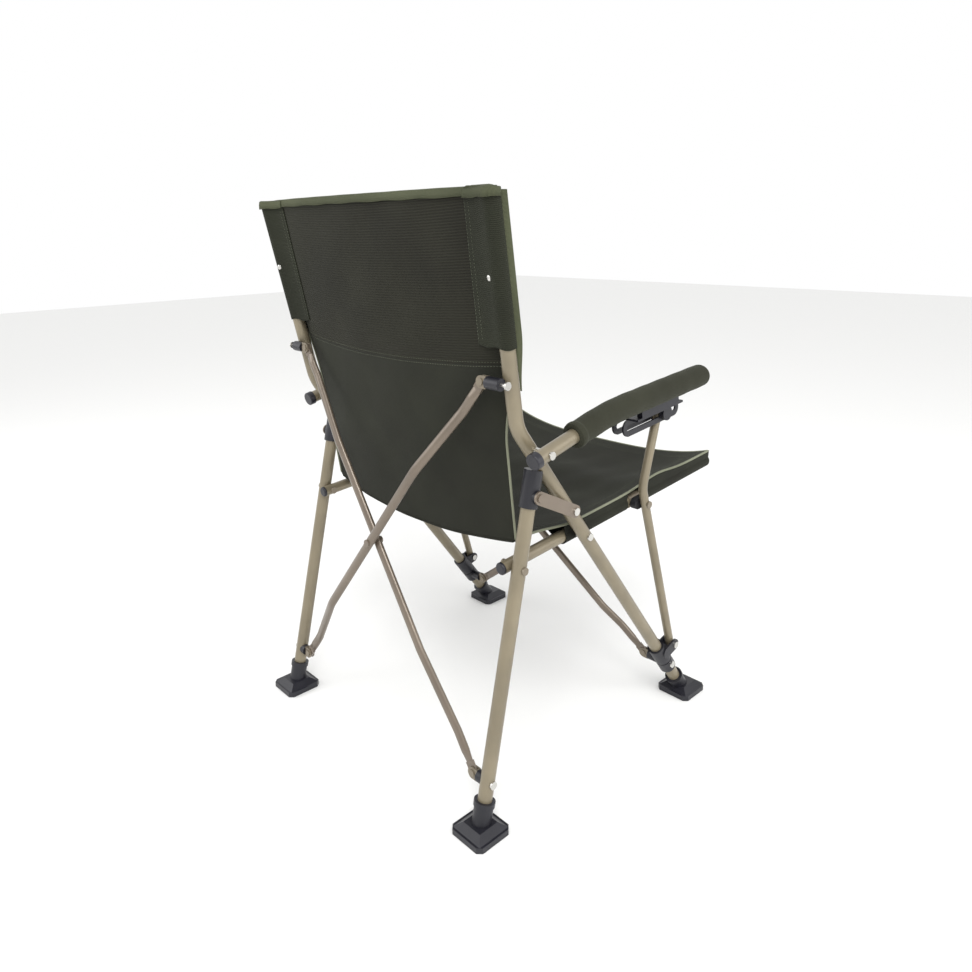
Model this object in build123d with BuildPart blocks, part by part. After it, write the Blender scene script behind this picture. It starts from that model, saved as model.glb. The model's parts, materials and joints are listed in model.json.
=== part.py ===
"""Folding camp chair with four legs, two X braces, slotted arms and a slung cloth seat.

Millimetres, +Z up, the sitter faces -Y and the sitter's right is -X.  The origin is on the floor
under the middle of the chair.  Each side frame lies in a plane across X, so its places are given
twice: `leg_point(along, ahead)` measures along the front leg from its foot and forward of it, and
`rail_point(ahead, below)` measures along the seat rail from its pivot on the front leg.
"""

import os
from math import atan2, cos, degrees, hypot, radians, sin

from build123d import *

os.makedirs("parts", exist_ok=True)

RIGHT = -1
LEFT = 1
SIDES = {"right": RIGHT, "left": LEFT}

# ---------------------------------------------------------------- side frame, overall
foot_front_y = -226.18      # where the front leg's axis meets its foot
foot_spread = 520.0         # front foot to rear foot
foot_height = 5.0           # height of that meeting point above the floor
leg_lean = 36.8             # front leg's lean back from upright, degrees
back_lean = 11.2            # upright's lean above the bend, degrees
bend_along = 737.0          # bend between the leg and the upright
top_height = 905.0          # top of the upright's tube
rail_slope = 4.6            # seat rail's rise to the front, degrees

# ---------------------------------------------------------------- distances from the middle plane
leg_x = 265.0
upright_top_x = 284.0
rear_leg_x = 261.0
rail_x = 240.0
post_x = 270.0
arm_x = 295.0

# ---------------------------------------------------------------- tubes
leg_radius = 11.0
rail_radius = 9.5
post_radius = 7.5
arm_radius = 11.0
tube_wall = 1.4
leg_bend_radius = 75.0
post_bend_radius = 40.0
arm_bend_radius = 600.0

# ---------------------------------------------------------------- pivots
rail_pivot_along = 486.0    # seat rail on the front leg
link_pivot_along = 553.0    # link on the front leg
arm_pivot_along = 691.0     # arm on the front leg
brace_top_along = 811.0     # rear brace, upper end
brace_top_ahead = 14.0
collar_along = 94.0         # front brace, lower end
rear_leg_behind = 144.0     # rear leg's screw on the seat rail, behind the rail pivot
link_up = 109.0             # link's rivet on the rear leg, above that screw
brace_down = 316.0          # rear brace's lower end, below that screw
post_ahead = 155.0          # arm post on the seat rail, ahead of the rail pivot
brace_ahead = 205.0         # front brace's upper end on the seat rail
ear_ahead = 27.0            # post's foot pivot in the slider, ahead of the leg's axis
post_lower = 302.0          # post's length below the rail
rail_front = 387.0          # seat rail's front end
rail_bore = rail_radius - tube_wall
cap_plug = 10.0             # rail cap's plug inside the tube
cap_head = 5.0              # rail cap's head beyond the tube
cap_round = 3.0
rail_rear = 158.0           # seat rail's rear end
knob_ahead = 308.3          # arm's slide block, ahead of the arm's pivot
knob_rise = 3.7
post_bend_up = 31.0         # bend in the post above the rail

# ---------------------------------------------------------------- arm
arm_rear = 25.0             # arm tube behind its pivot
arm_bend_y = 144.0          # arm's gentle bend, ahead of its pivot
arm_rear_slope = 13.5
arm_front_slope = 5.0
arm_reach = 400.0           # arm tube's front end ahead of its pivot
pad_rear = 60.0             # pad's rear end ahead of the pivot
pad_radius = 19.5
pad_past = 8.0              # pad's closed front end beyond the tube, and its rounding
slot_slope = 5.5
slot_rear = 97.0            # slot's rear end, behind the knob
slot_front = 30.0
slot_half = 5.0
plate_margin = 9.0
plate_thick = 3.0
knob_radius = 12.5
knob_thick = 8.0

# ---------------------------------------------------------------- braces
brace_wide = 16.0
brace_thick = 11.0
tongue_thick = 4.0
tongue_length = 16.0
crush_length = 32.0         # where the crushed end has become the full oval
front_rivet_x = 220.0
rear_rivet_x = 232.0
ear_thick = 2.0
ear_radius = 9.0
web_thick = 2.0
rivet_radius = 3.0
rivet_head = 5.5
rivet_head_thick = 1.8
tongue_clear = 0.5          # bar's rounded end to the bracket's web
crossing_head = 3.0         # rivet head where the two bars cross
rear_offset = {"right": 25.0, "left": 10.0}
front_offset = {"right": 7.5, "left": -7.5}
brace_bend_start = 60.0
rear_bend_end = 190.0
front_bend_end = 110.0
brace_bend_radius = 90.0

# ---------------------------------------------------------------- fits and small fittings
running = 0.05              # radial clearance of a pin in its hole
seat_fit = 0.05             # radial clearance of a plastic fitting on its tube
gap = 0.3                   # between pieces that only face each other
pin_radius = 3.0
collar_below = 14.0         # front collar's length below and above its bolt
collar_above = 11.0
upright_plug = 12.0         # upright cap's plug and head
upright_head = 6.0
head_plug = 14.0            # rear leg tube's length past the link's rivet, inside the head
head_below = 18.0           # leg head's length below and above that rivet
head_above = 38.0
head_outer = leg_radius + 3.2
clamp_half = 14.0           # rail clamp, half its length
clamp_wall = 2.0
clamp_outer = rail_radius + clamp_wall
block_half = 8.0            # spacer block between the clamp and the post
post_tip = 6.0              # post's end past the knob
slider_below = 13.0         # slider's sleeve below and above its ears' pivot
slider_above = 27.0
sleeve_clear = 0.2
arm_cap_over = 8.0          # arm cap's skirt over the tube and head behind it
arm_cap_head = 3.0
arm_cap_wall = 1.5
arm_cap_round = 2.0
tab_half = 5.0              # half the width of the arm bracket's tab
head_radius = 6.0
head_thick = 2.6
sleeve_radius = 15.0
foot_half = 32.5
foot_thick = 9.0
foot_crown = 8.0
foot_chamfer = 7.0
socket_length = 44.0
socket_radius = 14.5
socket_rim = 1.6            # collar round the socket's mouth
tube_seat = 15.0            # tube's lower end above the foot point
link_thick = 3.0
link_wide = 20.0
slack = 1.0                 # side play of a fork round its tube
cutter = 60.0               # side of a block that cuts clear away

# ---------------------------------------------------------------- cloth
cloth_thick = 4.0
cloth_clear = 5.0           # cloth's edge inside the tubes
cloth_rise = 3.0            # seat cloth's underside above the rails
seat_rear = 60.0            # seat cloth's rear end, behind the rail pivot
back_top = 913.0
back_knee = 712.0
back_bottom_behind = 89.0   # back cloth's lower edge, behind the rail pivot
back_bottom_rise = 9.7


def leg_point(along, ahead=0.0):
    """(y, z) of a place measured along the front leg from its foot, and ahead of it."""
    lean = radians(leg_lean)
    y = foot_front_y + along * sin(lean) - ahead * cos(lean)
    z = foot_height + along * cos(lean) + ahead * sin(lean)
    return (y, z)


rail_pivot = leg_point(rail_pivot_along)


def rail_point(ahead, below=0.0):
    """(y, z) of a place along the seat rail, ahead of its pivot, and below its axis."""
    slope = radians(rail_slope)
    y = rail_pivot[0] - ahead * cos(slope) - below * sin(slope)
    z = rail_pivot[1] + ahead * sin(slope) - below * cos(slope)
    return (y, z)


def between(start, end, distance):
    """(y, z) at a distance from start, on the line towards end."""
    length = hypot(end[0] - start[0], end[1] - start[1])
    share = distance / length
    return (start[0] + (end[0] - start[0]) * share, start[1] + (end[1] - start[1]) * share)


rear_foot = (foot_front_y + foot_spread, foot_height)
rear_leg_pivot = rail_point(-rear_leg_behind)
link_rivet = between(rear_leg_pivot, rear_foot, -link_up)
rear_brace_low = between(rear_leg_pivot, rear_foot, brace_down)
rear_brace_top = leg_point(brace_top_along, brace_top_ahead)
front_brace_low = leg_point(collar_along)
front_brace_top = rail_point(brace_ahead)
link_pivot = leg_point(link_pivot_along)
arm_pivot = leg_point(arm_pivot_along)
post_pivot = rail_point(post_ahead)
knob = (arm_pivot[0] - knob_ahead, arm_pivot[1] + knob_rise)
bend_point = leg_point(bend_along)


def ear_point():
    """(y, z) of the post's foot pivot: on the slider's ear line, one post length from the rail."""
    lean = radians(leg_lean)
    dy = post_pivot[0] - foot_front_y
    dz = post_pivot[1] - foot_height
    along = dy * sin(lean) + dz * cos(lean)
    ahead = dz * sin(lean) - dy * cos(lean)
    drop = ahead - ear_ahead
    return leg_point(along - (post_lower**2 - drop**2) ** 0.5, ear_ahead)


ear = ear_point()
ear_along = (ear[0] - foot_front_y) * sin(radians(leg_lean)) + (ear[1] - foot_height) * cos(
    radians(leg_lean)
)


def upright_y(z):
    """y of the upright's axis at a height above the bend."""
    return bend_point[0] + (z - bend_point[1]) * sin(radians(back_lean)) / cos(radians(back_lean))


def upright_x(z):
    """Distance of the upright's axis from the middle plane at a height above the bend."""
    share = (z - bend_point[1]) / (top_height - bend_point[1])
    return leg_x + (upright_top_x - leg_x) * share


def outward(side, x, point):
    """3-D place from a distance off the middle plane and a (y, z) pair."""
    return (side * x, point[0], point[1])


def side_plane(side, x_from, x_to):
    """Plane across X at the lower of two X places, with Y to the right and Z up."""
    low = min(side * x_from, side * x_to)
    return Plane(origin=(low, 0, 0), x_dir=(0, 1, 0), z_dir=(1, 0, 0))


def disc(side, x_from, x_to, point, radius, mode=Mode.ADD):
    """Round solid lying across the chair between two distances from the middle plane."""
    with BuildSketch(side_plane(side, x_from, x_to)) as face:
        with Locations(point):
            Circle(radius)
    extrude(face.sketch, amount=abs(x_to - x_from), mode=mode)


def plate(side, x_from, x_to, outline, mode=Mode.ADD):
    """Flat solid across X with a closed outline of (y, z) points."""
    with BuildSketch(side_plane(side, x_from, x_to)) as face:
        with BuildLine():
            Polyline(*outline, close=True)
        make_face()
    extrude(face.sketch, amount=abs(x_to - x_from), mode=mode)


def bar_plate(side, x_from, x_to, start, end, radius, mode=Mode.ADD):
    """Flat bar with round ends between two (y, z) centres."""
    length = hypot(end[0] - start[0], end[1] - start[1])
    angle = degrees(atan2(end[1] - start[1], end[0] - start[0]))
    middle = ((start[0] + end[0]) / 2, (start[1] + end[1]) / 2)
    with BuildSketch(side_plane(side, x_from, x_to)) as face:
        with Locations(Location((middle[0], middle[1], 0), (0, 0, angle))):
            SlotCenterToCenter(length, 2 * radius)
    extrude(face.sketch, amount=abs(x_to - x_from), mode=mode)


def run(points, radius):
    """Wire through 3-D points with equal round bends."""
    with BuildLine() as path:
        if len(points) > 2:
            FilletPolyline(*points, radius=radius)
        else:
            Line(*points)
    return path.line


def rod(path, radius, mode=Mode.ADD):
    """Round bar along a wire."""
    with BuildSketch(Plane(origin=path @ 0, z_dir=path % 0)) as face:
        Circle(radius)
    sweep(face.sketch, path=path, mode=mode)


def ring(start, end, outer, inner):
    """Sleeve between two 3-D points."""
    axis = Vector(*end) - Vector(*start)
    with BuildSketch(Plane(origin=start, z_dir=axis)) as face:
        Circle(outer)
        if inner:
            Circle(inner, mode=Mode.SUBTRACT)
    extrude(face.sketch, amount=axis.length)


def bored_tube(path, radius, side, holes):
    """Hollow tube along a wire, with round cross holes given as ((y, z), radius)."""
    with BuildPart() as tube:
        rod(path, radius)
        rod(path, radius - tube_wall, Mode.SUBTRACT)
        for point, hole_radius in holes:
            disc(side, 0, 2 * leg_x, point, hole_radius, Mode.SUBTRACT)
    return tube.part


def pin(side, x_from, x_to, point, radius=pin_radius):
    """Pin across the frame with a round head on each end, outside the two given places."""
    disc(side, x_from, x_to, point, radius)
    disc(side, x_from - head_thick, x_from, point, head_radius)
    disc(side, x_to, x_to + head_thick, point, head_radius)


def foot(side, x, base, direction):
    """Square foot with a bevelled top and a round socket along the leg."""
    centre = Vector(side * x, base[0], 0)
    socket_start = Vector(*outward(side, x, base))
    axis = Vector(0, direction[0], direction[1]).normalized()
    with BuildPart() as pad:
        with BuildSketch(Plane(origin=centre)) as sole:
            Rectangle(2 * foot_half, 2 * foot_half)
            chamfer(sole.vertices(), foot_chamfer)
        extrude(amount=foot_thick)
        with BuildSketch(Plane(origin=centre + Vector(0, 0, foot_thick))):
            Rectangle(2 * foot_half - foot_chamfer, 2 * foot_half - foot_chamfer)
        with BuildSketch(Plane(origin=centre + Vector(0, 0, foot_thick + foot_crown))):
            Rectangle(1.1 * foot_half, 1.1 * foot_half)
        loft()
        ring(socket_start, socket_start + axis * socket_length, socket_radius, 0)
        ring(
            socket_start + axis * (socket_length - foot_crown),
            socket_start + axis * socket_length,
            socket_radius + socket_rim,
            0,
        )
        with BuildSketch(Plane(origin=socket_start + axis * tube_seat, z_dir=axis)):
            Circle(leg_radius + seat_fit)
        extrude(amount=socket_length, mode=Mode.SUBTRACT)
        with BuildSketch(Plane(origin=centre)):
            Rectangle(6 * foot_half, 6 * foot_half)
        extrude(amount=-2 * foot_half, mode=Mode.SUBTRACT)
    return pad.part


def save(part, name):
    """Label a finished piece and write its file."""
    part.label = name
    export_step(part, f"parts/{name}.step")


leg_direction = (sin(radians(leg_lean)), cos(radians(leg_lean)))
rear_direction = (rear_leg_pivot[0] - rear_foot[0], rear_leg_pivot[1] - rear_foot[1])
bolt_x = upright_x(rear_brace_top[1])
inner_leg = leg_x - leg_radius
outer_leg = leg_x + leg_radius
inner_rail = rail_x - rail_radius
outer_rail = rail_x + rail_radius
inner_rear = rear_leg_x - leg_radius
outer_rear = rear_leg_x + leg_radius
front_web = front_rivet_x + brace_wide / 2 + 0.5
rear_web = rear_rivet_x + brace_wide / 2 + 0.5
link_x = outer_leg + 2.5
hole = pin_radius + running

# ---------------------------------------------------------------- pieces on the front legs
for name, side in SIDES.items():
    top = (upright_y(top_height), top_height)
    leg_path = run(
        [
            outward(side, leg_x, leg_point(tube_seat)),
            outward(side, leg_x, bend_point),
            outward(side, upright_top_x, top),
        ],
        leg_bend_radius,
    )
    leg_pins = [rail_pivot, link_pivot, arm_pivot, rear_brace_top, front_brace_low]
    save(bored_tube(leg_path, leg_radius, side, [(p, hole) for p in leg_pins]), f"front_leg_tube_{name}")

    save(foot(side, leg_x, leg_point(0), leg_direction), f"front_foot_{name}")

    with BuildPart() as collar:
        ring(
            outward(side, leg_x, leg_point(collar_along - collar_below)),
            outward(side, leg_x, leg_point(collar_along + collar_above)),
            sleeve_radius,
            0,
        )
        disc(side, front_web + web_thick + gap, leg_x, front_brace_low, ear_radius)
        disc(side, 0, 2 * leg_x, front_brace_low, hole, Mode.SUBTRACT)
        rod(leg_path, leg_radius + seat_fit, Mode.SUBTRACT)
    with BuildPart() as top_spacer:
        disc(side, rear_web + web_thick + gap, bolt_x, rear_brace_top, ear_radius)
        disc(side, 0, 2 * leg_x, rear_brace_top, hole, Mode.SUBTRACT)
        rod(leg_path, leg_radius + seat_fit, Mode.SUBTRACT)
    save(Compound([collar.part.solid(), top_spacer.part.solid()]), f"front_collar_{name}")

    with BuildPart() as cap:
        up = (leg_path % 1).normalized()
        end = leg_path @ 1
        ring(end - up * upright_plug, end, leg_radius - tube_wall - seat_fit, 0)
        ring(end + up * gap / 3, end + up * upright_head, leg_radius + 1, 0)
        fillet(cap.faces().sort_by(Axis.Z)[-1].edges(), cap_round)
        ring(end - up, end + up, leg_radius - tube_wall - seat_fit, 0)
    save(cap.part, f"upright_cap_{name}")

    with BuildPart() as bolts:
        pin(side, inner_rail, outer_leg, rail_pivot)
        pin(side, inner_leg, link_x + link_thick + running, link_pivot)
        pin(side, inner_leg, arm_x + arm_radius, arm_pivot)
        disc(side, rear_web, bolt_x + leg_radius, rear_brace_top, pin_radius)
        disc(side, bolt_x + leg_radius, bolt_x + leg_radius + head_thick, rear_brace_top, head_radius)
        disc(side, front_web, leg_x + sleeve_radius, front_brace_low, pin_radius)
        disc(
            side,
            leg_x + sleeve_radius,
            leg_x + sleeve_radius + head_thick,
            front_brace_low,
            head_radius,
        )
    with BuildPart() as washers:
        disc(side, outer_rail + gap / 3, inner_leg - gap / 3, rail_pivot, head_radius)
        disc(side, 0, 2 * leg_x, rail_pivot, hole, Mode.SUBTRACT)
        disc(side, outer_leg, link_x - gap / 3, link_pivot, head_radius)
        disc(side, outer_leg, arm_x - arm_radius - gap / 3, arm_pivot, head_radius)
        disc(side, 0, 2 * leg_x, link_pivot, hole, Mode.SUBTRACT)
        disc(side, 0, 2 * leg_x, arm_pivot, hole, Mode.SUBTRACT)
    save(Compound(bolts.part.solids() + washers.part.solids()), f"leg_bolts_{name}")

# ---------------------------------------------------------------- pieces on the rear legs
for name, side in SIDES.items():
    up = Vector(0, *rear_direction).normalized()
    base = Vector(*outward(side, rear_leg_x, rear_foot))
    pivot = Vector(*outward(side, rear_leg_x, rear_leg_pivot))
    tube_top = pivot + up * (link_up + head_plug)
    rear_path = run([base + up * tube_seat, tube_top], 0)
    rear_pins = [rear_leg_pivot, rear_brace_low]
    save(bored_tube(rear_path, leg_radius, side, [(p, hole) for p in rear_pins]), f"rear_leg_tube_{name}")

    save(foot(side, rear_leg_x, rear_foot, rear_direction), f"rear_foot_{name}")

    leg_line = run([outward(side, leg_x, leg_point(tube_seat)), outward(side, leg_x, bend_point)], 0)
    with BuildPart() as head:
        ring(pivot + up * (link_up - head_below), pivot + up * (link_up + head_above), head_outer, 0)
        disc(side, rear_leg_x, link_x - gap, link_rivet, ear_radius)
        rod(leg_line, leg_radius + slack, Mode.SUBTRACT)
        with BuildSketch(Plane(origin=pivot, z_dir=up)) as bore:
            Circle(leg_radius + seat_fit)
        extrude(bore.sketch, amount=link_up + 14 + gap, mode=Mode.SUBTRACT)
    with BuildPart() as low_spacer:
        disc(side, rear_web + web_thick + gap, rear_leg_x, rear_brace_low, ear_radius)
        disc(side, 0, 2 * leg_x, rear_brace_low, hole, Mode.SUBTRACT)
        rod(rear_path, leg_radius + seat_fit, Mode.SUBTRACT)
    save(Compound(head.part.solids() + low_spacer.part.solids()), f"rear_leg_head_{name}")

    with BuildPart() as bolt:
        disc(side, rear_web + web_thick + gap, outer_rear, rear_brace_low, pin_radius)
        disc(side, outer_rear, outer_rear + head_thick, rear_brace_low, head_radius)
    save(bolt.part, f"rear_leg_bolt_{name}")

# ---------------------------------------------------------------- links
for name, side in SIDES.items():
    with BuildPart() as link:
        bar_plate(side, link_x, link_x + link_thick, link_pivot, link_rivet, link_wide / 2)
        disc(side, link_x, link_x + link_thick, link_pivot, hole, Mode.SUBTRACT)
        disc(
            side,
            link_x + link_thick,
            link_x + link_thick + head_thick,
            link_rivet,
            head_radius,
        )
    save(link.part, f"link_bar_{name}")

# ---------------------------------------------------------------- seat rails
for name, side in SIDES.items():
    rail_start = Vector(*outward(side, rail_x, rail_point(-rail_rear)))
    rail_end = Vector(*outward(side, rail_x, rail_point(rail_front)))
    along = (rail_end - rail_start).normalized()
    rail_path = run([rail_start, rail_end], 0)
    rail_pins = [rail_pivot, rear_leg_pivot, post_pivot]
    save(bored_tube(rail_path, rail_radius, side, [(p, hole) for p in rail_pins]), f"seat_rail_{name}")

    with BuildPart() as rear_cap:
        ring(rail_start - along * gap, rail_start + along * cap_plug, rail_bore - seat_fit, 0)
        ring(rail_start - along * cap_head, rail_start - along * gap, rail_radius, 0)
        fillet(rear_cap.faces().sort_by(Axis.Y)[-1].edges(), cap_round)
    with BuildPart() as front_cap:
        ring(rail_end - along * cap_plug, rail_end + along * gap, rail_bore - seat_fit, 0)
        ring(rail_end + along * gap, rail_end + along * cap_head, rail_radius, 0)
        fillet(front_cap.faces().sort_by(Axis.Y)[0].edges(), cap_round)
    save(Compound(rear_cap.part.solids() + front_cap.part.solids()), f"seat_rail_caps_{name}")

    post_place = Vector(*outward(side, rail_x, post_pivot))
    with BuildPart() as clamp:
        clamp_reach = along * clamp_half
        ring(post_place - clamp_reach, post_place + clamp_reach, clamp_outer, rail_radius + seat_fit)
        disc(side, 0, 2 * leg_x, post_pivot, hole, Mode.SUBTRACT)
    with BuildPart() as rail_bolts:
        pin(side, inner_rail - clamp_wall, post_x + post_radius, post_pivot)
        pin(side, inner_rail, outer_rear, rear_leg_pivot)
    save(Compound(clamp.part.solids() + rail_bolts.part.solids()), f"rail_clamp_{name}")

    with BuildPart() as block:
        bar_plate(
            side,
            outer_rail + 2 + gap / 3,
            post_x - post_radius - gap,
            rail_point(post_ahead - block_half),
            rail_point(post_ahead + block_half),
            rail_radius,
        )
        disc(side, 0, 2 * leg_x, post_pivot, hole, Mode.SUBTRACT)
    save(block.part, f"post_block_{name}")

# ---------------------------------------------------------------- arm posts and sliders
for name, side in SIDES.items():
    down = between(ear, post_pivot, -9)
    elbow = between(post_pivot, ear, -post_bend_up)
    tip = between(elbow, knob, hypot(knob[0] - elbow[0], knob[1] - elbow[1]) + post_tip)
    post_path = run([outward(side, post_x, p) for p in (down, elbow, tip)], post_bend_radius)
    save(bored_tube(post_path, post_radius, side, [(post_pivot, hole)]), f"arm_post_{name}")

    cheek_in = post_radius + slack
    cheek_out = post_radius + slack + 3.5
    with BuildPart() as slider:
        ring(
            outward(side, leg_x, leg_point(ear_along - slider_below)),
            outward(side, leg_x, leg_point(ear_along + slider_above)),
            sleeve_radius,
            0,
        )
        bar_plate(side, post_x - cheek_out, post_x + cheek_out, ear, leg_point(ear_along + 9, 4), 10)
        plate(
            side,
            post_x - cheek_in,
            post_x + cheek_in,
            [
                leg_point(ear_along - cutter, sleeve_radius + sleeve_clear),
                leg_point(ear_along + cutter, sleeve_radius + sleeve_clear),
                leg_point(ear_along + cutter, sleeve_radius + cutter),
                leg_point(ear_along - cutter, sleeve_radius + cutter),
            ],
            Mode.SUBTRACT,
        )
        with BuildSketch(
            Plane(
                origin=outward(side, leg_x, leg_point(ear_along - cutter)),
                z_dir=(0, *leg_direction),
            )
        ) as bore:
            Circle(leg_radius + running)
        extrude(bore.sketch, amount=2 * cutter, mode=Mode.SUBTRACT)
        disc(side, 0, 2 * leg_x, ear, hole, Mode.SUBTRACT)
    save(slider.part, f"slider_{name}")

    with BuildPart() as ear_screws:
        for inner, outer in ((cheek_in, cheek_out), (-cheek_out, -cheek_in)):
            disc(side, post_x + inner, post_x + outer, ear, pin_radius)
        disc(side, post_x + cheek_out, post_x + cheek_out + head_thick, ear, head_radius)
        disc(side, post_x - cheek_out - head_thick, post_x - cheek_out, ear, head_radius)
    save(ear_screws.part, f"slider_screws_{name}")

# ---------------------------------------------------------------- arms
slope = radians(slot_slope)


def slot_point(ahead, below=0.0):
    """(y, z) of a place along the arm's slot, ahead of the knob and below the slot."""
    y = knob[0] - ahead * cos(slope) - below * sin(slope)
    z = knob[1] + ahead * sin(slope) - below * cos(slope)
    return (y, z)


def arm_axis_z(ahead):
    """Height of the arm's axis line at a distance ahead of its pivot, before rounding its bend."""
    if ahead < arm_bend_y:
        return arm_pivot[1] + ahead * sin(radians(arm_rear_slope)) / cos(radians(arm_rear_slope))
    bend_z = arm_axis_z(arm_bend_y - 1e-6)
    front_rise = sin(radians(arm_front_slope)) / cos(radians(arm_front_slope))
    return bend_z + (ahead - arm_bend_y) * front_rise


def arm_points(side, ahead_from, ahead_to):
    """3-D points of the arm's axis between two places, through its bend."""
    stations = [ahead_from, arm_bend_y, ahead_to]
    return [(side * arm_x, arm_pivot[0] - s, arm_axis_z(s)) for s in stations]


for name, side in SIDES.items():
    arm_path = run(arm_points(side, -arm_rear, arm_reach), arm_bend_radius)
    save(bored_tube(arm_path, arm_radius, side, [(arm_pivot, hole)]), f"arm_tube_{name}")

    arm_start = arm_path @ 0
    back = (arm_path % 0).normalized() * -1
    with BuildPart() as arm_cap:
        ring(arm_start - back * arm_cap_over, arm_start + back * arm_cap_head, arm_radius + arm_cap_wall, 0)
        fillet(arm_cap.faces().sort_by(Axis.Y)[-1].edges(), arm_cap_round)
        with BuildSketch(Plane(origin=arm_start, z_dir=back * -1)) as mouth:
            Circle(arm_radius + seat_fit)
        extrude(mouth.sketch, amount=cutter, mode=Mode.SUBTRACT)
    save(arm_cap.part, f"arm_cap_{name}")

    web_low = plate_margin + slot_half
    tab_rear = -slot_rear + 12
    tab_front = slot_front - 12
    with BuildPart() as pad:
        rod(run(arm_points(side, pad_rear, arm_reach + pad_past), arm_bend_radius), pad_radius)
        fillet(pad.faces().sort_by(Axis.Y)[0].edges(), pad_past)
        pad_bore = run(arm_points(side, -arm_rear, arm_reach + gap), arm_bend_radius)
        rod(pad_bore, arm_radius + seat_fit, Mode.SUBTRACT)
        plate(
            side,
            arm_x - tab_half - slack,
            arm_x + tab_half + slack,
            [
                slot_point(tab_rear - slack, 0),
                slot_point(tab_front + slack, 0),
                slot_point(tab_front + slack, -pad_radius * 2),
                slot_point(tab_rear - slack, -pad_radius * 2),
            ],
            Mode.SUBTRACT,
        )
    save(pad.part, f"arm_pad_{name}")

    plate_in = post_radius + slack
    with BuildPart() as bracket:
        for low, high in ((plate_in, plate_in + plate_thick), (-plate_in - plate_thick, -plate_in)):
            bar_plate(
                side,
                post_x + low,
                post_x + high,
                slot_point(-slot_rear),
                slot_point(slot_front),
                plate_margin + slot_half,
            )
        plate(
            side,
            post_x - plate_in - plate_thick,
            arm_x + 5,
            [
                slot_point(-slot_rear, -web_low + 1),
                slot_point(slot_front, -web_low + 1),
                slot_point(slot_front, -web_low - 2.5),
                slot_point(-slot_rear, -web_low - 2.5),
            ],
        )
        plate(
            side,
            arm_x - tab_half,
            arm_x + tab_half,
            [
                slot_point(tab_rear, -web_low),
                slot_point(tab_front, -web_low),
                slot_point(tab_front, -web_low - pad_radius * 2),
                slot_point(tab_rear, -web_low - pad_radius * 2),
            ],
        )
        bar_plate(
            side,
            post_x - plate_in - plate_thick,
            post_x + plate_in + plate_thick,
            slot_point(-slot_rear),
            slot_point(slot_front),
            slot_half,
            Mode.SUBTRACT,
        )
        plate(
            side,
            arm_x - cutter / 2,
            arm_x + cutter / 2,
            [
                (arm_pivot[0] - pad_rear, arm_axis_z(pad_rear)),
                (arm_pivot[0] - arm_bend_y, arm_axis_z(arm_bend_y)),
                (arm_pivot[0] - arm_reach, arm_axis_z(arm_reach)),
                (arm_pivot[0] - arm_reach, arm_axis_z(arm_reach) + cutter),
                (arm_pivot[0] - pad_rear, arm_axis_z(pad_rear) + cutter),
            ],
            Mode.SUBTRACT,
        )
        rod(arm_path, arm_radius + seat_fit, Mode.SUBTRACT)
    save(bracket.part, f"arm_bracket_{name}")

    face = plate_in + plate_thick
    with BuildPart() as knob_block:
        for way in (1, -1):
            radius = knob_radius if way == 1 else knob_radius - 2.5
            disc(side, post_x + way * plate_in, post_x + way * (face + gap), knob, slot_half - running)
            disc(
                side,
                post_x + way * (face + gap),
                post_x + way * (face + gap + knob_thick),
                knob,
                radius,
            )
    save(knob_block.part, f"slide_block_{name}")


# ---------------------------------------------------------------- braces
def brace_frame(near, far, near_side, rivet_x):
    """Directions of a brace: along it, rearwards across its flat, and up its side-frame line."""
    start = Vector(*outward(near_side, rivet_x, near))
    end = Vector(*outward(-near_side, rivet_x, far))
    along = (end - start).normalized()
    upward = Vector(0, far[0] - near[0], far[1] - near[1]).normalized()
    if upward.Z < 0:
        upward = upward * -1
    rearward = Vector(1, 0, 0).cross(upward) * -1
    if rearward.Y < 0:
        rearward = rearward * -1
    return start, end, along, rearward, upward


def brace_bar(start, end, along, rearward, offset, bend_end):
    """Oval bar, crushed flat at both ends, that steps off its rivet plane between them."""
    length = (end - start).length
    with BuildPart() as bar:
        for origin, way in ((start, along), (end, along * -1)):
            with BuildSketch(
                Plane(origin=origin - rearward * (tongue_thick / 2), x_dir=way, z_dir=rearward)
            ):
                Circle(brace_wide / 2)
                with Locations((tongue_length / 2, 0)):
                    Rectangle(tongue_length, brace_wide)
                Circle(rivet_radius + running, mode=Mode.SUBTRACT)
            extrude(amount=tongue_thick)
            with BuildSketch(
                Plane(origin=origin + way * tongue_length, x_dir=rearward, z_dir=way)
            ):
                Ellipse(tongue_thick / 2, brace_wide / 2)
            with BuildSketch(
                Plane(origin=origin + way * crush_length, x_dir=rearward, z_dir=way)
            ):
                Ellipse(brace_thick / 2, brace_wide / 2)
            loft()
        step = rearward * offset
        middle = run(
            [
                start + along * crush_length,
                start + along * brace_bend_start,
                start + along * bend_end + step,
                end - along * bend_end + step,
                end - along * brace_bend_start,
                end - along * crush_length,
            ],
            brace_bend_radius,
        )
        with BuildSketch(
            Plane(origin=start + along * crush_length, x_dir=rearward, z_dir=along)
        ):
            Ellipse(brace_thick / 2, brace_wide / 2)
        sweep(path=middle)
    return bar, length


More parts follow.
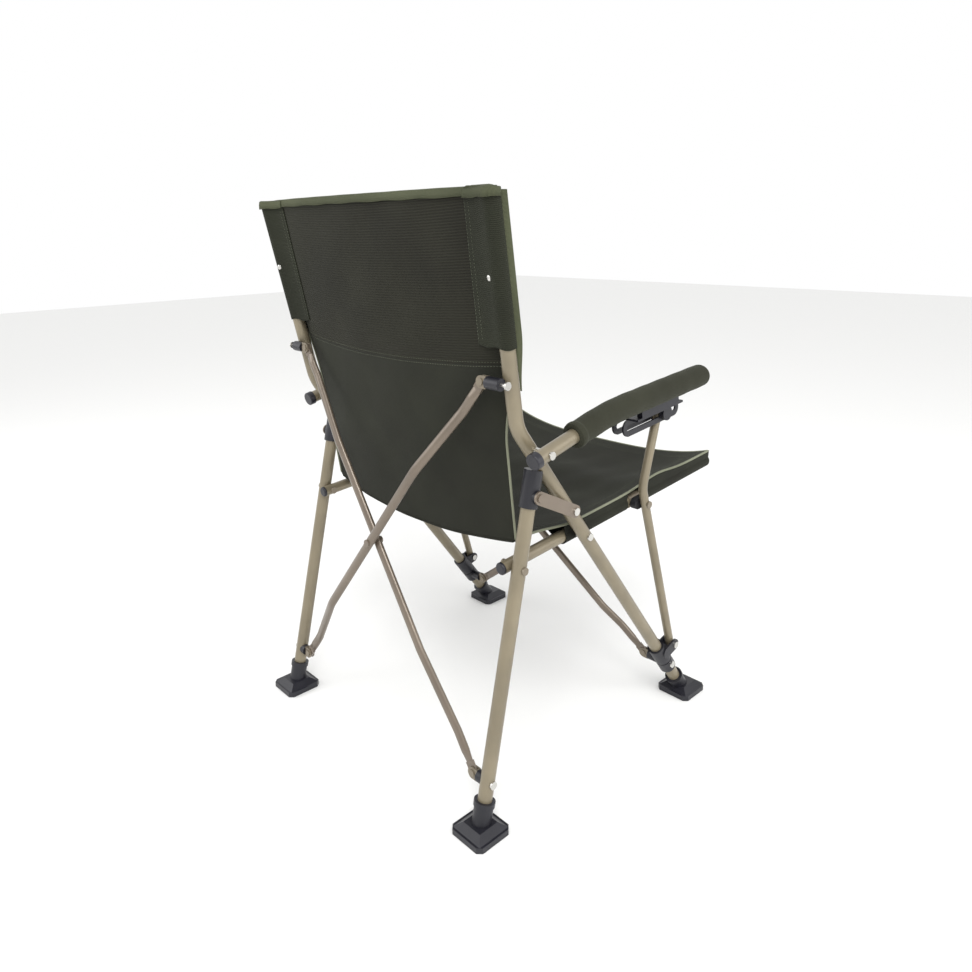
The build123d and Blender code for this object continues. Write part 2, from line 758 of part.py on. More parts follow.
def cross_bracket(place, outer_way, rearward, web_shift=0.0, bolt_hole=True):
    """Channel bracket with its rivet: a web that faces the frame and two ears round the bar."""
    ear_gap = tongue_thick / 2 + gap
    reach = brace_wide / 2 + tongue_clear + web_shift
    with BuildPart() as channel:
        with BuildSketch(
            Plane(origin=place - rearward * (ear_gap + ear_thick), x_dir=outer_way, z_dir=rearward)
        ):
            Circle(ear_radius)
            with Locations(((reach + web_thick) / 2, 0)):
                Rectangle(reach + web_thick, 2 * ear_radius)
        extrude(amount=2 * (ear_gap + ear_thick))
        with BuildSketch(
            Plane(origin=place - rearward * ear_gap, x_dir=outer_way, z_dir=rearward)
        ):
            with Locations((reach - cutter / 2, 0)):
                Rectangle(cutter, cutter)
        extrude(amount=2 * ear_gap, mode=Mode.SUBTRACT)
        if bolt_hole:
            with BuildSketch(Plane(origin=place, z_dir=outer_way)):
                Circle(hole)
            extrude(amount=cutter, mode=Mode.SUBTRACT)
        with BuildSketch(
            Plane(origin=place - rearward * (ear_gap + ear_thick + rivet_head_thick), z_dir=rearward)
        ):
            Circle(rivet_radius)
        extrude(amount=2 * (ear_gap + ear_thick + rivet_head_thick))
        for way in (1, -1):
            with BuildSketch(
                Plane(origin=place + rearward * way * (ear_gap + ear_thick), z_dir=rearward * way)
            ):
                Circle(rivet_head)
            extrude(amount=rivet_head_thick)
    return channel.part


brace_sets = {
    "rear": (rear_brace_top, rear_brace_low, rear_rivet_x, rear_offset, rear_bend_end),
    "front": (front_brace_low, front_brace_top, front_rivet_x, front_offset, front_bend_end),
}
for brace, (near, far, rivet_x, offsets, bend_end) in brace_sets.items():
    for name, side in SIDES.items():
        start, end, along, rearward, upward = brace_frame(near, far, side, rivet_x)
        bar, length = brace_bar(start, end, along, rearward, offsets[name], bend_end)
        other = offsets["left"] if name == "right" else offsets["right"]
        away = 1 if offsets[name] > other else -1
        crossing = (start + end) * 0.5 + rearward * offsets[name]
        with bar:
            with BuildSketch(
                Plane(
                    origin=crossing + rearward * away * (brace_thick / 2 - 1),
                    z_dir=rearward * away,
                )
            ) as middle_head:
                Circle(head_radius)
            extrude(middle_head.sketch, amount=crossing_head)
        save(bar.part, f"{brace}_brace_{name}")
        other_name = "left" if name == "right" else "right"
        near_end = "upper" if brace == "rear" else "lower"
        far_end = "lower" if brace == "rear" else "upper"
        save(
            cross_bracket(start, Vector(side, 0, 0), rearward),
            f"{brace}_{near_end}_bracket_{name}",
        )
        save(
            cross_bracket(end, Vector(-side, 0, 0), rearward, -gap, bolt_hole=False),
            f"{brace}_{far_end}_bracket_{other_name}",
        )

# ---------------------------------------------------------------- cloth
seat_half = inner_leg - cloth_clear
lift = rail_radius + cloth_rise
with BuildPart() as seat:
    with BuildSketch(Plane(origin=(-seat_half, 0, 0), x_dir=(0, 1, 0), z_dir=(1, 0, 0))) as strip:
        with BuildLine():
            Polyline(
                rail_point(-seat_rear, -lift),
                rail_point(rail_front, -lift),
                rail_point(rail_front, -lift - cloth_thick),
                rail_point(-seat_rear, -lift - cloth_thick),
                close=True,
            )
        make_face()
    extrude(strip.sketch, amount=2 * seat_half)
save(seat.part, "seat_cloth")

back_low_half = inner_rail - cloth_clear
back_high_half = upright_x(back_knee) - leg_radius - cloth_clear
with BuildPart() as back:
    levels = [
        (rail_pivot[0] + back_bottom_behind, rail_pivot[1] + back_bottom_rise, back_low_half),
        (upright_y(back_knee), back_knee, back_high_half),
        (upright_y(back_top), back_top, upright_x(back_top) - leg_radius - cloth_clear),
    ]
    for y, z, half in levels:
        with BuildSketch(Plane(origin=(0, y, z))):
            Rectangle(2 * half, cloth_thick)
    loft(ruled=True)
save(back.part, "back_cloth")
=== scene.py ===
# %% [markdown]
# # A folding camp chair
# The chair has a tube frame, a slung cloth seat and back, and two padded arms.
# The frame, its rivets, brackets and feet come from the CAD model and already stand in place.
# What CAD can't show is the cloth: panels that sag between the tubes, sleeves that wrap them,
# bound edges, piping and stitches. Those are made here as surfaces, and every finish is made too.

import json

import bpy
import numpy as np
from mathutils import Matrix, Vector


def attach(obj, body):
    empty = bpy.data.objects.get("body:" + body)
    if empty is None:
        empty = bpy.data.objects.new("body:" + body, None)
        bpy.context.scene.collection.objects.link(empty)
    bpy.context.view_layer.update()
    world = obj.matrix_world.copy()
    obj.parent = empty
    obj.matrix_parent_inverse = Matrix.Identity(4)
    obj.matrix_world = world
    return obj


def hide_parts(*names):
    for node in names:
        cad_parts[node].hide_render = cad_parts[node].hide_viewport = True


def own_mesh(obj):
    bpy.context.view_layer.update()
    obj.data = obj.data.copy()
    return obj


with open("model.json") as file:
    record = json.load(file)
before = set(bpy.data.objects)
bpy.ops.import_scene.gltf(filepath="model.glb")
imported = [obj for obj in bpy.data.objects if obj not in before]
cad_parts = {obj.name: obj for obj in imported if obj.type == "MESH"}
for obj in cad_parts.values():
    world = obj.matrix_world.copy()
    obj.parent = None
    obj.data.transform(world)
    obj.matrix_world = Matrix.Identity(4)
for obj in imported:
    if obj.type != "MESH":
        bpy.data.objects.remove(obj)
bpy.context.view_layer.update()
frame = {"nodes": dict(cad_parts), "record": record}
nodes = frame["nodes"]

# %% [markdown]
# ## Where the tubes run
# Cloth is sewn round the tubes, so the first need is to know where each tube's middle line lies.
# Each side frame is flat, so a place on it is a height and a depth, plus a distance off the middle.
# A few angles and lengths of the frame are enough to work all of them out as formulas.

# %% Middle lines of the tubes
LEG_LEAN = np.radians(36.8)
BACK_LEAN = np.radians(11.2)
RAIL_SLOPE = np.radians(4.6)
FOOT = np.array([-0.22618, 0.005])
LEG_X, TOP_X, TOP_Z = 0.265, 0.284, 0.905
RAIL_X = 0.240
BEND_ALONG, RAIL_ALONG, ARM_ALONG = 0.737, 0.486, 0.691
SIDES = {"right": -1.0, "left": 1.0}


def leg_place(along):
    """(y, z) on the front leg: the foot plus a distance along the leaning leg."""
    return FOOT + along * np.array([np.sin(LEG_LEAN), np.cos(LEG_LEAN)])


BEND = leg_place(BEND_ALONG)
RAIL_PIVOT = leg_place(RAIL_ALONG)
ARM_PIVOT = leg_place(ARM_ALONG)


def upright_y(z):
    """Depth of the upright: the bend's depth plus the rise times the lean's tangent."""
    return BEND[0] + (z - BEND[1]) * np.tan(BACK_LEAN)


def upright_x(z):
    """Distance off the middle: it spreads evenly from the bend to the top."""
    return LEG_X + (TOP_X - LEG_X) * (z - BEND[1]) / (TOP_Z - BEND[1])


def rail_z(y):
    """Height of the seat rail: the pivot's height plus the way forward times the slope."""
    return RAIL_PIVOT[1] + (RAIL_PIVOT[0] - y) * np.tan(RAIL_SLOPE)


def ease(value, low, high):
    """0 below low, 1 above high, and an S-shaped 3t^2 - 2t^3 between them."""
    t = np.clip((value - low) / (high - low), 0, 1)
    return t * t * (3 - 2 * t)


print("rail pivot", RAIL_PIVOT, "bend", BEND)

# %% [markdown]
# ## Turning formulas into meshes
# Each cloth piece is a sheet of points with rows and columns. One helper joins neighbours into
# four-sided faces and stores a UV map in metres, so that a weave has its true size on every piece.
# A modelling tool with brushes could draw these, but formulas keep seams exactly on each other.


# %% Sheets of points
def sheet_mesh(name, points, round_section=False, close_ends=False, flip=False):
    """Mesh from points[row, column]. UV is the length walked along each row and each column.
    round_section joins the last column to the first; close_ends covers both end rows."""
    rows, columns = points.shape[:2]
    walk = np.concatenate([points, points[:, :1]], axis=1) if round_section else points
    step_u = np.linalg.norm(np.diff(walk, axis=1), axis=2)
    step_v = np.linalg.norm(np.diff(walk, axis=0), axis=2)
    u = np.concatenate([np.zeros((rows, 1)), np.cumsum(step_u, axis=1)], axis=1)
    v = np.concatenate([np.zeros((1, walk.shape[1])), np.cumsum(step_v, axis=0)], axis=0)
    u = u - u[:, -1:] / 2
    wide = np.arange(rows * walk.shape[1]).reshape(rows, -1)
    corners = [wide[:-1, :-1], wide[:-1, 1:], wide[1:, 1:], wide[1:, :-1]]
    if flip:
        corners = corners[::-1]
    quads = np.stack(corners, axis=-1).reshape(-1, 4)
    row_of, column_of = np.divmod(quads, walk.shape[1])
    faces = row_of * columns + column_of % columns
    uv = np.stack([u.ravel()[quads], v.ravel()[quads]], axis=-1).reshape(-1, 2)
    polygons = faces.tolist()
    if close_ends:
        first = np.arange(columns)
        last = first + (rows - 1) * columns
        ends = [first[::-1], last] if not flip else [first, last[::-1]]
        polygons += [end.tolist() for end in ends]
        first_uv = points[0, ends[0] % columns][:, :2]
        last_uv = points[-1, ends[1] % columns][:, :2]
        uv = np.concatenate([uv, first_uv, last_uv])
    mesh = bpy.data.meshes.new(name)
    mesh.from_pydata(points.reshape(-1, 3).tolist(), [], polygons)
    mesh.uv_layers.new(name="cloth").data.foreach_set("uv", uv.ravel().astype(np.float32))
    mesh.polygons.foreach_set("use_smooth", np.ones(len(mesh.polygons), dtype=bool))
    mesh.update()
    piece = bpy.data.objects.new(name, mesh)
    bpy.context.scene.collection.objects.link(piece)
    return piece


def thicken(piece, thickness, offset=0.0):
    """Gives a sheet its thickness, so that its cut edges are closed."""
    wall = piece.modifiers.new("thickness", "SOLIDIFY")
    wall.thickness = thickness
    wall.offset = offset
    wall.use_even_offset = True
    return piece


print("sheet helper ready")

# %% [markdown]
# ## Cords, piping and tubes
# Piping and pads are profiles carried along a path. At each path point the profile needs two
# directions across the path. Taking one from a fixed guide direction keeps it from twisting.


# %% Profiles along a path
def across(path, guide):
    """Two unit directions square to the path: side = path x guide, and over = side x path."""
    along = np.gradient(path, axis=0)
    along /= np.linalg.norm(along, axis=1, keepdims=True)
    side = np.cross(along, guide)
    side /= np.linalg.norm(side, axis=1, keepdims=True)
    return along, side, np.cross(side, along)


def carried(path, radius_side, radius_over, guide, columns=12):
    """Points of an oval carried along a path: path + side*a*cos + over*b*sin."""
    along, side, over = across(path, np.asarray(guide, float))
    angle = np.linspace(0, 2 * np.pi, columns, endpoint=False)
    a = np.broadcast_to(radius_side, len(path))[:, None, None]
    b = np.broadcast_to(radius_over, len(path))[:, None, None]
    ring = side[:, None] * np.cos(angle)[None, :, None] * a
    return path[:, None] + ring + over[:, None] * np.sin(angle)[None, :, None] * b


def piping(name, path, radius, guide):
    """A thin round cord of cloth along a path, with its ends drawn in and closed."""
    size = np.full(len(path), radius)
    size[[0, -1]] *= 0.3
    return sheet_mesh(name, carried(path, size, size, guide), round_section=True, close_ends=True)


def stitches(name, place, facing, length=0.0032, every=0.0050, width=0.0005, height=0.00035):
    """A row of thread bumps. place is a dense path, facing the cloth's direction there.
    Each stitch is a ring of four points between two tips, so it has eight faces."""
    steps = np.linalg.norm(np.diff(place, axis=0), axis=1)
    walked = np.concatenate([[0], np.cumsum(steps)])
    at = np.arange(every, walked[-1] - every, every)
    middle = np.stack([np.interp(at, walked, place[:, k]) for k in range(3)], axis=1)
    normal = np.stack([np.interp(at, walked, facing[:, k]) for k in range(3)], axis=1)
    along, side, over = across(middle, normal)
    tips = np.array([[-1, 0, 0], [1, 0, 0]]) * [length / 2, 1, 1]
    ring = np.array([[0, 1, 0], [0, 0, 1], [0, -1, 0], [0, 0, -1]]) * [1, width, height]
    shape = np.concatenate([tips, ring])
    points = (
        middle[:, None]
        + along[:, None] * shape[None, :, :1]
        + side[:, None] * shape[None, :, 1:2]
        + over[:, None] * shape[None, :, 2:]
    )
    first_half = [[0, 3, 2], [0, 4, 3], [0, 5, 4], [0, 2, 5]]
    second_half = [[1, 2, 3], [1, 3, 4], [1, 4, 5], [1, 5, 2]]
    sides = np.array(first_half + second_half)
    faces = (sides[None] + 6 * np.arange(len(at))[:, None, None]).reshape(-1, 3)
    mesh = bpy.data.meshes.new(name)
    mesh.from_pydata(points.reshape(-1, 3).tolist(), [], faces.tolist())
    mesh.update()
    piece = bpy.data.objects.new(name, mesh)
    bpy.context.scene.collection.objects.link(piece)
    return piece


def joined(name, pieces):
    """One object from several, so that all the stitches of a panel are one piece."""
    with bpy.context.temp_override(
        active_object=pieces[0], selected_editable_objects=pieces, selected_objects=pieces
    ):
        bpy.ops.object.join()
    pieces[0].name = name
    return pieces[0]


print("path helpers ready")

# %% [markdown]
# ## Finishes
# A finish is a small network of nodes. Each one below mixes two close colours by a soft noise,
# moves the roughness a little, and adds a bump at the scale of the real surface: orange peel on
# powder coat, grain on plastic, threads on cloth. Patterns on cloth follow its UV map in metres.


# %% Finish helpers
def finish_base(name, roughness, metallic=0.0, sheen=0.0):
    """A new material with its shader, with the plain values set straight on the sockets."""
    material = bpy.data.materials.new(name)
    material.use_nodes = True
    shader = material.node_tree.nodes["Principled BSDF"]
    shader.inputs["Roughness"].default_value = roughness
    shader.inputs["Metallic"].default_value = metallic
    shader.inputs["Sheen Weight"].default_value = sheen
    shader.inputs["Sheen Roughness"].default_value = 0.5
    return material, material.node_tree, shader


def add(tree, kind, values=None, **settings):
    """Adds a node, sets its settings and its input values by name or number."""
    made = tree.nodes.new(kind)
    for key, value in settings.items():
        setattr(made, key, value)
    for key, value in (values or {}).items():
        made.inputs[key].default_value = value
    return made


def two_tone(tree, factor, first, second):
    """Colour that goes from first to second as factor goes from 0 to 1."""
    ramp = add(tree, "ShaderNodeValToRGB")
    ramp.color_ramp.elements[0].color = (*first, 1)
    ramp.color_ramp.elements[0].position = 0.35
    ramp.color_ramp.elements[1].color = (*second, 1)
    ramp.color_ramp.elements[1].position = 0.68
    tree.links.new(factor, ramp.inputs[0])
    return ramp.outputs[0]


def spread(tree, factor, low, high):
    """A number that goes from low to high as factor goes from 0 to 1."""
    made = add(tree, "ShaderNodeMapRange", {"To Min": low, "To Max": high})
    tree.links.new(factor, made.inputs["Value"])
    return made.outputs["Result"]


def noise(tree, where, scale, detail=3.0):
    """Soft cloudy noise at a place."""
    made = add(tree, "ShaderNodeTexNoise", {"Scale": scale, "Detail": detail})
    tree.links.new(where, made.inputs["Vector"])
    return made.outputs["Fac"]


def bump(tree, shader, heights):
    """Stacks bumps on the shader: each is (height, strength, distance in metres)."""
    before = None
    for height, strength, distance in heights:
        made = add(tree, "ShaderNodeBump", {"Strength": strength, "Distance": distance})
        tree.links.new(height, made.inputs["Height"])
        if before:
            tree.links.new(before, made.inputs["Normal"])
        before = made.outputs["Normal"]
    tree.links.new(before, shader.inputs["Normal"])


def coated(name, light, dark, roughness, metallic, grain, depth, coat=0.0):
    """Paint, metal or plastic: cloudy colour, uneven gloss, fine grain, on Object coordinates."""
    material, tree, shader = finish_base(name, roughness, metallic)
    where = add(tree, "ShaderNodeTexCoord").outputs["Object"]
    cloud = noise(tree, where, 14.0)
    fine = noise(tree, where, grain, 2.0)
    tree.links.new(two_tone(tree, cloud, light, dark), shader.inputs["Base Color"])
    gloss = spread(tree, noise(tree, where, 45.0), roughness - 0.07, roughness + 0.09)
    tree.links.new(gloss, shader.inputs["Roughness"])
    bump(tree, shader, [(fine, 0.35, depth)])
    shader.inputs["Coat Weight"].default_value = coat
    shader.inputs["Coat Roughness"].default_value = 0.25
    return material


print("finish helpers ready")

# %% [markdown]
# ### Hard finishes
# The tubes have a satin powder coat in a warm khaki, the crossed braces a browner one. Rivets and
# screws are bright steel, and caps, sliders, brackets and feet are near-black moulded plastic.

# %% Paint, steel, plastic and rubber
# Each row: light colour, dark colour, roughness, metallic, grain scale, grain depth, clear coat.
HARD = {
    "frame_paint": ((0.225, 0.190, 0.126), (0.178, 0.150, 0.100), 0.36, 0.30, 900, 0.0002, 0.25),
    "brace_paint": ((0.175, 0.140, 0.106), (0.140, 0.111, 0.084), 0.32, 0.42, 900, 0.0002, 0.3),
    "bracket_steel": ((0.215, 0.180, 0.130), (0.175, 0.146, 0.106), 0.34, 0.35, 900, 0.0002, 0.2),
    "black_plastic": ((0.006, 0.006, 0.010), (0.011, 0.011, 0.017), 0.40, 0.0, 1500, 0.0003),
    "black_rubber": ((0.006, 0.006, 0.008), (0.012, 0.012, 0.014), 0.60, 0.0, 900, 0.0005),
}
FINISHES = {name: coated(name, *values) for name, values in HARD.items()}
RIVET = coated("rivet_steel", (0.62, 0.61, 0.58), (0.50, 0.49, 0.46), 0.24, 0.95, 1200, 0.0001)
slot_of = {part["node"]: part["material_slot"] for part in frame["record"]["subparts"]}
BRIGHT = ("leg_bolts", "rear_leg_bolt", "slider_screws")
for node_name, node in nodes.items():
    finish = FINISHES.get(slot_of[node_name], FINISHES["black_plastic"])
    if node_name.startswith(BRIGHT):
        finish = RIVET
    for material_slot in node.material_slots:
        material_slot.material = finish
print("hard finishes on", len(nodes), "nodes")

# %% [markdown]
# ### Cloth finishes
# Three cloths are used: a ribbed one on the upper back, a smooth plain weave elsewhere, and an
# olive tape on the edges. Threads are waves across the UV map: one set for ribs, or two sets,
# warp and weft, multiplied. A wave of scale s repeats every 0.314/s metres.


# %% Woven cloth
def threads(tree, where, direction, pitch, distortion=0.0):
    """Parallel threads: a sine across one UV direction that repeats every pitch metres."""
    made = add(
        tree,
        "ShaderNodeTexWave",
        {"Scale": 0.31416 / pitch, "Distortion": distortion, "Detail": 1.0},
        wave_type="BANDS",
        bands_direction=direction,
    )
    tree.links.new(where, made.inputs["Vector"])
    return made.outputs["Fac"]


def product(tree, first, second):
    """Two numbers multiplied."""
    made = add(tree, "ShaderNodeMath", operation="MULTIPLY")
    tree.links.new(first, made.inputs[0])
    tree.links.new(second, made.inputs[1])
    return made.outputs[0]


def woven(name, light, dark, rib=None, pitch=0.0011, roughness=0.86, sheen=0.05, shine=0.20):
    """Cloth: cloudy colour, plain weave, optional ribs, and faint wide ripples."""
    material, tree, shader = finish_base(name, roughness, sheen=sheen)
    shader.inputs["Specular IOR Level"].default_value = shine
    shader.inputs["Sheen Tint"].default_value = (0.55, 0.58, 0.45, 1)
    uv = add(tree, "ShaderNodeUVMap", uv_map="cloth").outputs["UV"]
    place = add(tree, "ShaderNodeTexCoord").outputs["Object"]
    cloud = noise(tree, place, 7.0, 4.0)
    weave = product(tree, threads(tree, uv, "X", pitch), threads(tree, uv, "Y", pitch))
    heights = [(noise(tree, place, 22.0), 0.35, 0.0016), (weave, 0.4, 0.00035)]
    shade = cloud
    if rib:
        ribs = threads(tree, uv, "Y", rib, 0.25)
        heights.append((ribs, 0.75, 0.0011))
        lift = add(tree, "ShaderNodeMath", {1: 0.30}, operation="MULTIPLY_ADD")
        tree.links.new(ribs, lift.inputs[0])
        tree.links.new(spread(tree, cloud, -0.12, 0.92), lift.inputs[2])
        shade = lift.outputs[0]
    tree.links.new(two_tone(tree, shade, light, dark), shader.inputs["Base Color"])
    gloss = spread(tree, weave, roughness - 0.08, roughness + 0.06)
    tree.links.new(gloss, shader.inputs["Roughness"])
    bump(tree, shader, heights)
    return material


CLOTH_RIBBED = woven("cloth_ribbed", (0.0085, 0.0078, 0.0048), (0.0165, 0.0160, 0.0100), rib=0.0040)
CLOTH_SMOOTH = woven("cloth_smooth", (0.0100, 0.0100, 0.0072), (0.0160, 0.0168, 0.0110))
CLOTH_SLEEVE = woven("cloth_sleeve", (0.0115, 0.0125, 0.0070), (0.0190, 0.0210, 0.0120), rib=0.0026)
PAD_CLOTH = woven(
    "pad_cloth", (0.0200, 0.0200, 0.0125), (0.0300, 0.0310, 0.0195), pitch=0.0014, sheen=0.10
)
EDGE_TAPE = woven(
    "edge_tape", (0.050, 0.056, 0.030), (0.088, 0.096, 0.054), rib=0.0016, pitch=0.0008
)
PIPING_CLOTH = woven("piping_cloth", (0.150, 0.158, 0.110), (0.220, 0.228, 0.165), pitch=0.0008)
THREAD = woven("thread", (0.085, 0.092, 0.065), (0.130, 0.138, 0.100), pitch=0.0006)
print("cloth finishes ready")


def dress(piece, finish, body, width_half=None):
    """Gives a piece its finish and its body. When width_half is given for cloth that spans the chair,
    the piece also gets its own copy of its mesh."""
    piece.data.materials.clear()
    piece.data.materials.append(finish)
    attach(piece, body)
    if width_half:
        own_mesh(piece)
    return piece


CLOTH_WALL, SLEEVE_WALL = 0.0014, 0.0012
BACK_HALF = 0.277
SEAT_HALF = 0.248
print("cloth wall", CLOTH_WALL)

# %% [markdown]
# ## The back
# The back is one sling between the two uprights. It bows to the rear under its own weight, and
# below the sleeves its edges draw in towards the seat rails. Across the back the depth follows a
# parabola; close to the tubes it turns forward to lie on their front.


# %% Shape of the back
BACK_TOP, SEAM_EDGE, SLEEVE_LOW = 0.924, 0.687, 0.712
CREASE_X, CREASE_Y, CREASE_Z = 0.2325, 0.186, 0.410


def back_point(s, z):
    """Place on the back for s from -1 (right edge) to 1 (left edge) at a height z.
    x = s times the edge; depth = edge + bow * (1 - s^2) + tuck behind the tubes * (1 - |s|^8)."""
    high = ease(z, 0.56, 0.725)
    edge_x = (CREASE_X + 0.03 * (z - CREASE_Z)) * (1 - high) + upright_x(z) * high
    edge_y = (CREASE_Y + 0.14 * (z - CREASE_Z)) * (1 - high) + (upright_y(z) - 0.0125) * high
    bow = 0.013 + 0.013 * ease(-z, -0.93, -0.68) - 0.008 * ease(-z, -0.60, -0.40)
    ripple = 0.0012 * np.sin(9 * s + 14 * z) * np.sin(23 * z + 3 * s) * (1 - s**4)
    y = edge_y + bow * (1 - s**2) + 0.0105 * high * (1 - np.abs(s) ** 8) + ripple
    return np.stack([s * edge_x, y, z + 0 * s], axis=-1)


def seam_z(s):
    """Height of the cross seam: it hangs 12 mm lower in the middle, as a parabola."""
    return SEAM_EDGE - 0.012 * (1 - s**2)


def crease_z(s):
    """Height of the fold where back meets seat: 18 mm lower in the middle."""
    return CREASE_Z - 0.018 * (1 - s**2)


def facing_of(place, a, b):
    """Direction out of a surface place(a, b): b-derivative x a-derivative, made unit."""
    step = 1e-4
    first = place(a + step, b) - place(a - step, b)
    second = place(a, b + step) - place(a, b - step)
    out = np.cross(second, first)
    return out / np.linalg.norm(out, axis=-1, keepdims=True)


def back_facing(s, z):
    """Direction out of the rear of the back."""
    return facing_of(back_point, s, z)


s_grid, t_grid = np.meshgrid(np.linspace(-1, 1, 141), np.linspace(0, 1, 61))
upper = back_point(s_grid, seam_z(s_grid) + t_grid * (BACK_TOP - seam_z(s_grid)))
lower = back_point(s_grid, crease_z(s_grid) + t_grid * (seam_z(s_grid) - crease_z(s_grid)))
back_upper = thicken(sheet_mesh("back_panel_upper", upper), CLOTH_WALL)
back_lower = thicken(sheet_mesh("back_panel_lower", lower), CLOTH_WALL)
dress(back_upper, CLOTH_RIBBED, "front_leg_right", BACK_HALF)
dress(back_lower, CLOTH_SMOOTH, "front_leg_right", BACK_HALF)
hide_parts("back_cloth")
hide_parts("back_cloth")
print("back panels", len(back_upper.data.polygons) + len(back_lower.data.polygons), "faces")

# %% [markdown]
# ## Sleeves round the uprights
# The cloth runs round the outside of each upright and comes back behind it to a double row of
# stitches 50 mm inboard. Cut across, it is a drop: an arc round the tube, then a straight run to
# a point on the panel. The length walked round that outline is the sleeve's second parameter.


# %% Sleeves
SLEEVE_ROUND, SLEEVE_TIP = 0.0126, 0.050


def sleeve_point(side, w, z):
    """Place on a sleeve for w from 0 (front of the tube) to 1 (the stitched point).
    First 0.5 of w: angle from -90 to 108 degrees round the tube. Then straight to the point."""
    angle = np.radians(-90 + 198 * np.clip(w / 0.5, 0, 1))
    run = np.clip((w - 0.5) / 0.5, 0, 1)
    out = SLEEVE_ROUND * np.cos(angle)
    rear = SLEEVE_ROUND * np.sin(angle)
    x_tube, y_tube = upright_x(z), upright_y(z)
    tip_s = (x_tube - SLEEVE_TIP) / x_tube
    tip_rear = back_point(tip_s, z)[..., 1] + 0.0016 - y_tube
    dip = 0.0022 * np.sin(np.pi * run)
    out = out + (-SLEEVE_TIP - out) * run
    rear = rear + (tip_rear - rear) * run - dip
    return np.stack([side * (x_tube + out), y_tube + rear, z + 0 * w], axis=-1)


def sleeve_facing(side, w, z):
    """Direction out of a sleeve. The right side is a mirror image, so its sign is turned."""
    return -side * facing_of(lambda a, b: sleeve_point(side, a, b), w, z)


w_grid, h_grid = np.meshgrid(np.linspace(0, 1, 49), np.linspace(0, 1, 61))
for name, side in SIDES.items():
    low_edge = SLEEVE_LOW + 0.0015 * np.sin(14 * w_grid) * (1 - h_grid)
    height = low_edge + h_grid * (BACK_TOP - 0.002 - low_edge)
    sleeve = sheet_mesh(f"back_sleeve_{name}", sleeve_point(side, w_grid, height), flip=side < 0)
    dress(thicken(sleeve, SLEEVE_WALL), CLOTH_SLEEVE, f"front_leg_{name}")
print("sleeve height", BACK_TOP - SLEEVE_LOW)

# %% [markdown]
# ## Tape, piping and stitches on the back
# A folded olive tape closes the top edge and runs down the outer front of each sleeve. Light
# piping finishes the lower edges. Two rows of thread follow each seam, standing just proud.


# %% Top tape
FOLD_OUT = np.array([-0.0019, -0.0020, -0.0014, 0.0, 0.0014, 0.0020, 0.0019])
FOLD_UP = np.array([-0.0110, -0.0040, 0.0008, 0.0017, 0.0008, -0.0040, -0.0110])


def folded_tape(name, path, facing, flip=False):
    """A U-shaped tape over an edge: path + facing * out + up * rise, for each point of the U."""
    wave = 1 + 0.05 * np.sin(np.arange(len(path)) * 0.30)[:, None, None]
    points = path[:, None] + facing[:, None] * FOLD_OUT[None, :, None]
    points = points + np.array([0, 0, 1.0]) * FOLD_UP[None, :, None] * wave
    return thicken(sheet_mesh(name, points, flip=flip), 0.0007, 1.0)


s_line = np.linspace(-1, 1, 161)
top_z = BACK_TOP + 0 * s_line
top_tape = folded_tape("top_tape", back_point(s_line, top_z), back_facing(s_line, top_z))
dress(top_tape, EDGE_TAPE, "front_leg_right", BACK_HALF)
w_line = np.linspace(0, 1, 61)
for name, side in SIDES.items():
    level = BACK_TOP - 0.002 + 0 * w_line
    path, face = sleeve_point(side, w_line, level), sleeve_facing(side, w_line, level)
    tape = folded_tape(f"sleeve_tape_{name}", path, face)
    dress(tape, EDGE_TAPE, f"front_leg_{name}")
print("top tape length", 2 * TOP_X)

# %% Side tape and corner cover
# The bound edge stands forward of the tube as a flat strip: centre + wide * cos + thick * sin.
z_line = np.linspace(0.650, BACK_TOP - 0.004, 90)
for name, side in SIDES.items():
    z2, a2 = np.meshgrid(z_line, np.linspace(0, 2 * np.pi, 20, endpoint=False), indexing="ij")
    taper = ease(z2, 0.645, 0.735)
    wide = (0.0012 + 0.0044 * taper) * np.cos(a2)
    thick = (0.0006 + 0.0008 * taper) * np.sin(a2)
    out = 0.0055 + 0.0045 * taper + 0.40 * wide + 0.92 * thick
    rear = -0.0118 - 0.0012 * taper - 0.92 * wide + 0.40 * thick
    points = np.stack([side * (upright_x(z2) + out), upright_y(z2) + rear, z2], axis=-1)
    tape = sheet_mesh(
        f"side_tape_{name}", points, round_section=True, close_ends=True, flip=side < 0
    )
    dress(tape, EDGE_TAPE, f"front_leg_{name}")

w2, k2 = np.meshgrid(np.linspace(0, 1, 41), np.linspace(0, 1, 13))
cover_z = BACK_TOP - 0.003 + 0 * w2
outline = sleeve_point(-1.0, w2, cover_z)
inboard = 0.042 * np.clip((w2 - 0.30) / 0.70, 0, 1)
ridge_x = -(upright_x(BACK_TOP) - inboard)
ridge = np.stack([ridge_x, upright_y(BACK_TOP) + 0.002 + 0 * w2, cover_z], axis=-1)
cover = outline + (ridge - outline) * k2[..., None]
cover[..., 2] += 0.0050 * np.sin(k2 * np.pi / 2)
corner_cover = thicken(sheet_mesh("corner_cover_right", cover, flip=True), SLEEVE_WALL)
dress(corner_cover, EDGE_TAPE, "front_leg_right")
print("side tape length", z_line[-1] - z_line[0])

